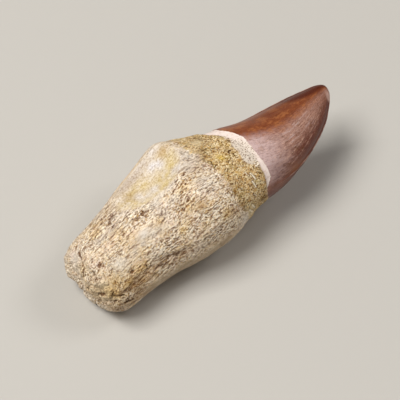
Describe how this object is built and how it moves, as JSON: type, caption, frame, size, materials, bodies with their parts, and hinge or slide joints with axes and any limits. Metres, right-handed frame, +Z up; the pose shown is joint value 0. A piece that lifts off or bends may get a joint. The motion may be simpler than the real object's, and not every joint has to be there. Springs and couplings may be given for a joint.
{
  "type": "fossil mosasaur tooth",
  "caption": "Fossil mosasaur tooth: glossy brown recurved crown on a barrel-shaped porous bone root, lying on the worn flat of the root.",
  "frame": {"origin": "on the table, under the middle of the tooth's bounding box", "axes": "+X from the broken end of the root to the tip of the crown, +Z up from the table, +Y towards the hollow side of the crown"},
  "size_m": [0.0808, 0.0312, 0.0271],
  "materials": {
    "fossil": "cream porous fossil bone with a sandy olive band at the neck and a glossy red-brown enamel crown",
    "matrix": "olive-yellow sand grains cemented to the neck"
  },
  "bodies": {
    "root": {"tooth": "fossil"}
  },
  "joints": []
}
